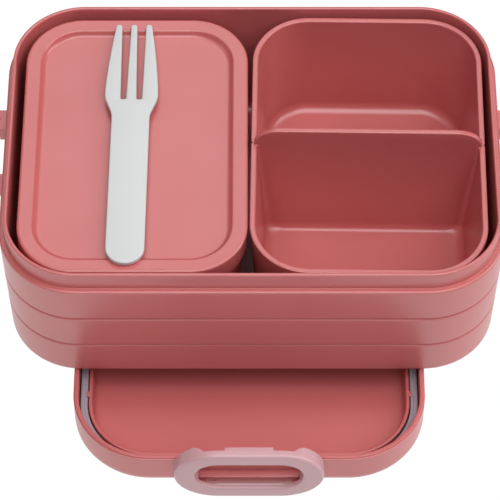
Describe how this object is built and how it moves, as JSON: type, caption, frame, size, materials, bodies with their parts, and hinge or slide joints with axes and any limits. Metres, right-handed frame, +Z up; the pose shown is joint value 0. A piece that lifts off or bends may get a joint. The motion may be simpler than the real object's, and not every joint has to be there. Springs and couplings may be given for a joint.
{
  "type": "bento lunch box",
  "caption": "Lunch box with an insert tray, a small lidded box and a fork, standing open on its upturned clip-on lid.",
  "frame": {"origin": "on the supporting surface, under the middle of the object, which is the middle of the upturned lid's length", "axes": "+Z up; +Y away from the viewer, along the lid's long side and across the box; +X to the right, along the box's long side"},
  "size_m": [0.1806, 0.1826, 0.0744],
  "materials": {
    "body_plastic": "satin gloss, dusty pink",
    "clip_plastic": "satin, pale pink",
    "seal_rubber": "matt, mid grey",
    "fork_plastic": "satin, off-white"
  },
  "bodies": {
    "lid": {"lid_shell": "body_plastic", "lid_seal": "seal_rubber"},
    "front_clip": {"front_clip": "clip_plastic"},
    "rear_clip": {"rear_clip": "clip_plastic"},
    "box": {"lunch_box": "body_plastic"},
    "insert": {"bento_insert": "body_plastic"},
    "container": {"snack_container": "body_plastic"},
    "container_lid": {"snack_container_lid": "body_plastic"},
    "fork": {"fork": "fork_plastic"}
  },
  "joints": [
    {"name": "front_clip_hinge", "type": "hinge", "parent": "lid", "child": "front_clip", "pos_m": [-0.001, -0.08795, 0.004], "axis": [1, 0, 0], "range_deg": [0, 90]},
    {"name": "rear_clip_hinge", "type": "hinge", "parent": "lid", "child": "rear_clip", "pos_m": [-0.001, 0.08795, 0.004], "axis": [-1, 0, 0], "range_deg": [0, 90]},
    {"name": "box_lift", "type": "slide", "parent": "lid", "child": "box", "axis": [0, 0, 1], "range_m": [0, 0.1]},
    {"name": "insert_lift", "type": "slide", "parent": "box", "child": "insert", "axis": [0, 0, 1], "range_m": [0, 0.07]},
    {"name": "container_lift", "type": "slide", "parent": "box", "child": "container", "axis": [0, 0, 1], "range_m": [0, 0.07]},
    {"name": "container_lid_lift", "type": "slide", "parent": "container", "child": "container_lid", "axis": [0, 0, 1], "range_m": [0, 0.03]},
    {"name": "fork_lift", "type": "slide", "parent": "container_lid", "child": "fork", "axis": [0, 0, 1], "range_m": [0, 0.05]}
  ]
}
